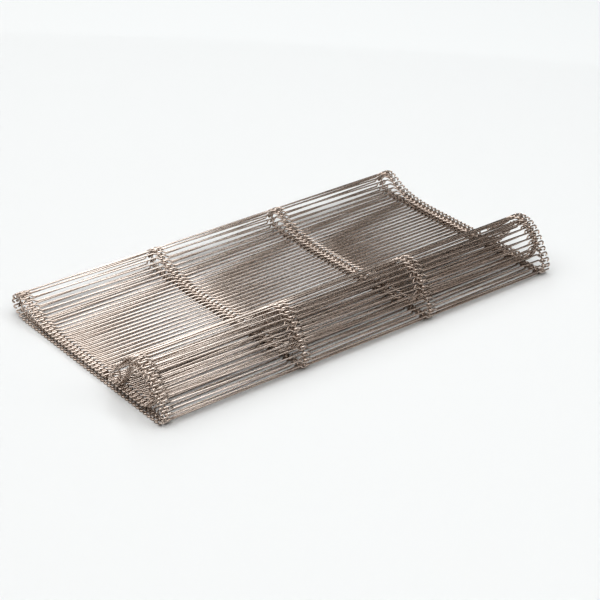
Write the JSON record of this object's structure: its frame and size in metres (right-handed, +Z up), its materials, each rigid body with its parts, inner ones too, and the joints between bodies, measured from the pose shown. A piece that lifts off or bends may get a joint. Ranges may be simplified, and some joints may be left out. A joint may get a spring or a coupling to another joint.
{
  "type": "wire conveyor belt",
  "caption": "Endless flat-flex wire conveyor belt of hooked stainless strands with single-loop edges, lying flat in two layers with a fold at the back and both layers rolled up at the front.",
  "frame": {"origin": "bottom centre of the belt as it lies, under the middle of its width and depth", "axes": "+X across the belt along the wires, +Y along the belt from the roll to the fold, +Z up"},
  "size_m": [0.368, 0.204, 0.0407],
  "materials": {
    "wire": "drawn stainless spring wire, bright satin"
  },
  "bodies": {
    "floor_run": {"floor_strands_01": "wire", "floor_strands_02": "wire", "floor_strands_03": "wire", "floor_strands_04": "wire", "floor_strands_05": "wire", "under_strands_01": "wire", "under_strands_02": "wire", "inner_foot_strands": "wire", "inner_front_strands": "wire", "inner_crest_strands": "wire"},
    "foot_link_01": {"foot_strand_01": "wire"},
    "foot_link_02": {"foot_strand_02": "wire"},
    "foot_link_03": {"foot_strand_03": "wire"},
    "foot_link_04": {"foot_strand_04": "wire"},
    "foot_link_05": {"foot_strand_05": "wire"},
    "arch_front_link_01": {"arch_front_strand_01": "wire"},
    "arch_front_link_02": {"arch_front_strand_02": "wire"},
    "arch_front_link_03": {"arch_front_strand_03": "wire"},
    "arch_front_link_04": {"arch_front_strand_04": "wire"},
    "arch_front_link_05": {"arch_front_strand_05": "wire"},
    "arch_crest_link_01": {"arch_crest_strand_01": "wire"},
    "arch_crest_link_02": {"arch_crest_strand_02": "wire"},
    "arch_crest_link_03": {"arch_crest_strand_03": "wire"},
    "arch_crest_link_04": {"arch_crest_strand_04": "wire"},
    "arch_crest_link_05": {"arch_crest_strand_05": "wire"},
    "arch_crest_link_06": {"arch_crest_strand_06": "wire"},
    "arch_crest_link_07": {"arch_crest_strand_07": "wire"},
    "arch_back_link_01": {"arch_back_strand_01": "wire"},
    "arch_back_link_02": {"arch_back_strand_02": "wire"},
    "arch_back_link_03": {"arch_back_strand_03": "wire"},
    "arch_back_link_04": {"arch_back_strand_04": "wire"},
    "arch_back_link_05": {"arch_back_strand_05": "wire"},
    "inner_back_link_01": {"inner_back_strand_01": "wire"},
    "inner_back_link_02": {"inner_back_strand_02": "wire"},
    "inner_back_link_03": {"inner_back_strand_03": "wire"},
    "inner_back_link_04": {"inner_back_strand_04": "wire"},
    "roll_tip_link_01": {"roll_tip_strand_01": "wire"},
    "roll_tip_link_02": {"roll_tip_strand_02": "wire"},
    "roll_tip_link_03": {"roll_tip_strand_03": "wire"},
    "fold_link_01": {"fold_strand_01": "wire"},
    "fold_link_02": {"fold_strand_02": "wire"},
    "fold_link_03": {"fold_strand_03": "wire"},
    "fold_link_04": {"fold_strand_04": "wire"},
    "fold_link_05": {"fold_strand_05": "wire"},
    "fold_link_06": {"fold_strand_06": "wire"},
    "fold_link_07": {"fold_strand_07": "wire"},
    "fold_link_08": {"fold_strand_08": "wire"},
    "fold_link_09": {"fold_strand_09": "wire"},
    "fold_link_10": {"fold_strand_10": "wire"},
    "fold_link_11": {"fold_strand_11": "wire"},
    "slope_links_01": {"slope_strands_01": "wire"},
    "slope_links_02": {"slope_strands_02": "wire"},
    "slope_links_03": {"slope_strands_03": "wire"},
    "slope_links_04": {"slope_strands_04": "wire"},
    "top_links_01": {"top_strands_01": "wire"},
    "top_links_02": {"top_strands_02": "wire"},
    "top_links_03": {"top_strands_03": "wire"},
    "top_links_04": {"top_strands_04": "wire"},
    "top_links_05": {"top_strands_05": "wire"}
  },
  "joints": [
    {"name": "arch_foot_pivot_01", "type": "hinge", "parent": "floor_run", "child": "foot_link_01", "pos_m": [0, -0.09223, 0.00074], "axis": [1, 0, 0], "range_deg": [0, 5]},
    {"name": "arch_foot_pivot_02", "type": "hinge", "parent": "foot_link_01", "child": "foot_link_02", "pos_m": [0, -0.0968, 0.00122], "axis": [1, 0, 0], "range_deg": [0, 28]},
    {"name": "arch_foot_pivot_03", "type": "hinge", "parent": "foot_link_02", "child": "foot_link_03", "pos_m": [0, -0.10038, 0.00411], "axis": [1, 0, 0], "range_deg": [0, 38]},
    {"name": "arch_foot_pivot_04", "type": "hinge", "parent": "foot_link_03", "child": "foot_link_04", "pos_m": [0, -0.10102, 0.00867], "axis": [1, 0, 0], "range_deg": [0, 24]},
    {"name": "arch_foot_pivot_05", "type": "hinge", "parent": "foot_link_04", "child": "foot_link_05", "pos_m": [0, -0.09937, 0.01296], "axis": [1, 0, 0], "range_deg": [0, 6]},
    {"name": "back_fold_pivot_01", "type": "hinge", "parent": "floor_run", "child": "fold_link_01", "pos_m": [0, 0.08257, 0.00074], "axis": [-1, 0, 0], "range_deg": [0, 5]},
    {"name": "back_fold_pivot_02", "type": "hinge", "parent": "fold_link_01", "child": "fold_link_02", "pos_m": [0, 0.08716, 0.00114], "axis": [-1, 0, 0], "range_deg": [0, 5]},
    {"name": "back_fold_pivot_03", "type": "hinge", "parent": "fold_link_02", "child": "fold_link_03", "pos_m": [0, 0.09163, 0.00221], "axis": [-1, 0, 0], "range_deg": [0, 5]},
    {"name": "back_fold_pivot_04", "type": "hinge", "parent": "fold_link_03", "child": "fold_link_04", "pos_m": [0, 0.09591, 0.0039], "axis": [-1, 0, 0], "range_deg": [0, 13]},
    {"name": "back_fold_pivot_05", "type": "hinge", "parent": "fold_link_04", "child": "fold_link_05", "pos_m": [0, 0.09946, 0.00682], "axis": [-1, 0, 0], "range_deg": [0, 24]},
    {"name": "back_fold_pivot_06", "type": "hinge", "parent": "fold_link_05", "child": "fold_link_06", "pos_m": [0, 0.10103, 0.01115], "axis": [-1, 0, 0], "range_deg": [0, 31]},
    {"name": "back_fold_pivot_07", "type": "hinge", "parent": "fold_link_06", "child": "fold_link_07", "pos_m": [0, 0.09961, 0.01552], "axis": [-1, 0, 0], "range_deg": [0, 25]},
    {"name": "back_fold_pivot_08", "type": "hinge", "parent": "fold_link_07", "child": "fold_link_08", "pos_m": [0, 0.09609, 0.01848], "axis": [-1, 0, 0], "range_deg": [0, 20]},
    {"name": "back_fold_pivot_09", "type": "hinge", "parent": "fold_link_08", "child": "fold_link_09", "pos_m": [0, 0.09161, 0.01955], "axis": [-1, 0, 0], "range_deg": [0, 20]},
    {"name": "back_fold_pivot_10", "type": "hinge", "parent": "fold_link_09", "child": "fold_link_10", "pos_m": [0, 0.08714, 0.01848], "axis": [-1, 0, 0], "range_deg": [0, 8]},
    {"name": "back_fold_pivot_11", "type": "hinge", "parent": "fold_link_10", "child": "fold_link_11", "pos_m": [0, 0.08304, 0.01639], "axis": [-1, 0, 0], "range_deg": [0, 5]},
    {"name": "inner_back_pivot_01", "type": "hinge", "parent": "floor_run", "child": "inner_back_link_01", "pos_m": [0, -0.05995, 0.02749], "axis": [1, 0, 0], "range_deg": [0, 5]},
    {"name": "inner_back_pivot_02", "type": "hinge", "parent": "inner_back_link_01", "child": "inner_back_link_02", "pos_m": [0, -0.05754, 0.02356], "axis": [1, 0, 0], "range_deg": [0, 5]},
    {"name": "inner_back_pivot_03", "type": "hinge", "parent": "inner_back_link_02", "child": "inner_back_link_03", "pos_m": [0, -0.05524, 0.01958], "axis": [1, 0, 0], "range_deg": [0, 5]},
    {"name": "inner_back_pivot_04", "type": "hinge", "parent": "inner_back_link_03", "child": "inner_back_link_04", "pos_m": [0, -0.05263, 0.0158], "axis": [1, 0, 0], "range_deg": [0, 5]},
    {"name": "roll_tip_pivot_01", "type": "hinge", "parent": "inner_back_link_04", "child": "roll_tip_link_01", "pos_m": [0, -0.04977, 0.01219], "axis": [-1, 0, 0], "range_deg": [0, 5]},
    {"name": "roll_tip_pivot_02", "type": "hinge", "parent": "roll_tip_link_01", "child": "roll_tip_link_02", "pos_m": [0, -0.04632, 0.00915], "axis": [-1, 0, 0], "range_deg": [0, 8]},
    {"name": "roll_tip_pivot_03", "type": "hinge", "parent": "roll_tip_link_02", "child": "roll_tip_link_03", "pos_m": [0, -0.04172, 0.00904], "axis": [-1, 0, 0], "range_deg": [0, 8]},
    {"name": "front_arm_pivot_01", "type": "hinge", "parent": "foot_link_05", "child": "arch_front_link_01", "pos_m": [0, -0.09703, 0.01692], "axis": [1, 0, 0], "range_deg": [0, 5]},
    {"name": "front_arm_pivot_02", "type": "hinge", "parent": "arch_front_link_01", "child": "arch_front_link_02", "pos_m": [0, -0.0947, 0.02089], "axis": [1, 0, 0], "range_deg": [0, 5]},
    {"name": "front_arm_pivot_03", "type": "hinge", "parent": "arch_front_link_02", "child": "arch_front_link_03", "pos_m": [0, -0.09233, 0.02483], "axis": [1, 0, 0], "range_deg": [0, 5]},
    {"name": "front_arm_pivot_04", "type": "hinge", "parent": "arch_front_link_03", "child": "arch_front_link_04", "pos_m": [0, -0.08976, 0.02865], "axis": [1, 0, 0], "range_deg": [0, 5]},
    {"name": "front_arm_pivot_05", "type": "hinge", "parent": "arch_front_link_04", "child": "arch_front_link_05", "pos_m": [0, -0.08683, 0.0322], "axis": [1, 0, 0], "range_deg": [0, 5]},
    {"name": "crest_pivot_01", "type": "hinge", "parent": "arch_front_link_05", "child": "arch_crest_link_01", "pos_m": [0, -0.08347, 0.03533], "axis": [1, 0, 0], "range_deg": [0, 6]},
    {"name": "crest_pivot_02", "type": "hinge", "parent": "arch_crest_link_01", "child": "arch_crest_link_02", "pos_m": [0, -0.07957, 0.03777], "axis": [1, 0, 0], "range_deg": [0, 7]},
    {"name": "crest_pivot_03", "type": "hinge", "parent": "arch_crest_link_02", "child": "arch_crest_link_03", "pos_m": [0, -0.07524, 0.03934], "axis": [1, 0, 0], "range_deg": [0, 8]},
    {"name": "crest_pivot_04", "type": "hinge", "parent": "arch_crest_link_03", "child": "arch_crest_link_04", "pos_m": [0, -0.07068, 0.0399], "axis": [1, 0, 0], "range_deg": [0, 10]},
    {"name": "crest_pivot_05", "type": "hinge", "parent": "arch_crest_link_04", "child": "arch_crest_link_05", "pos_m": [0, -0.06613, 0.03922], "axis": [1, 0, 0], "range_deg": [0, 10]},
    {"name": "crest_pivot_06", "type": "hinge", "parent": "arch_crest_link_05", "child": "arch_crest_link_06", "pos_m": [0, -0.06191, 0.03739], "axis": [1, 0, 0], "range_deg": [0, 8]},
    {"name": "crest_pivot_07", "type": "hinge", "parent": "arch_crest_link_06", "child": "arch_crest_link_07", "pos_m": [0, -0.05821, 0.03465], "axis": [1, 0, 0], "range_deg": [0, 5]},
    {"name": "rear_arm_pivot_01", "type": "hinge", "parent": "arch_crest_link_07", "child": "arch_back_link_01", "pos_m": [0, -0.05499, 0.03137], "axis": [1, 0, 0], "range_deg": [0, 5]},
    {"name": "rear_arm_pivot_02", "type": "hinge", "parent": "arch_back_link_01", "child": "arch_back_link_02", "pos_m": [0, -0.05156, 0.02831], "axis": [1, 0, 0], "range_deg": [0, 5]},
    {"name": "rear_arm_pivot_03", "type": "hinge", "parent": "arch_back_link_02", "child": "arch_back_link_03", "pos_m": [0, -0.04799, 0.0254], "axis": [1, 0, 0], "range_deg": [0, 5]},
    {"name": "rear_arm_pivot_04", "type": "hinge", "parent": "arch_back_link_03", "child": "arch_back_link_04", "pos_m": [0, -0.04417, 0.02285], "axis": [1, 0, 0], "range_deg": [0, 5]},
    {"name": "rear_arm_pivot_05", "type": "hinge", "parent": "arch_back_link_04", "child": "arch_back_link_05", "pos_m": [0, -0.04025, 0.02043], "axis": [1, 0, 0], "range_deg": [0, 5]},
    {"name": "slope_pivot_01", "type": "hinge", "parent": "fold_link_11", "child": "slope_links_01", "pos_m": [0, 0.07906, 0.01408], "axis": [-1, 0, 0], "range_deg": [0, 5]},
    {"name": "slope_pivot_02", "type": "hinge", "parent": "slope_links_01", "child": "slope_links_02", "pos_m": [0, 0.0706, 0.01051], "axis": [-1, 0, 0], "range_deg": [0, 5]},
    {"name": "slope_pivot_03", "type": "hinge", "parent": "slope_links_02", "child": "slope_links_03", "pos_m": [0, 0.06169, 0.0082], "axis": [-1, 0, 0], "range_deg": [0, 5]},
    {"name": "slope_pivot_04", "type": "hinge", "parent": "slope_links_03", "child": "slope_links_04", "pos_m": [0, 0.0526, 0.00684], "axis": [-1, 0, 0], "range_deg": [0, 5]},
    {"name": "top_run_pivot_01", "type": "hinge", "parent": "slope_links_04", "child": "top_links_01", "pos_m": [0, 0.04342, 0.00611], "axis": [-1, 0, 0], "range_deg": [0, 5]},
    {"name": "top_run_pivot_02", "type": "hinge", "parent": "top_links_01", "child": "top_links_02", "pos_m": [0, 0.02963, 0.00578], "axis": [-1, 0, 0], "range_deg": [0, 5]},
    {"name": "top_run_pivot_03", "type": "hinge", "parent": "top_links_02", "child": "top_links_03", "pos_m": [0, 0.01583, 0.00576], "axis": [-1, 0, 0], "range_deg": [0, 5]},
    {"name": "top_run_pivot_04", "type": "hinge", "parent": "top_links_03", "child": "top_links_04", "pos_m": [0, 0.00203, 0.00576], "axis": [-1, 0, 0], "range_deg": [0, 5]},
    {"name": "top_run_pivot_05", "type": "hinge", "parent": "top_links_04", "child": "top_links_05", "pos_m": [0, -0.01177, 0.00576], "axis": [-1, 0, 0], "range_deg": [0, 5]}
  ]
}
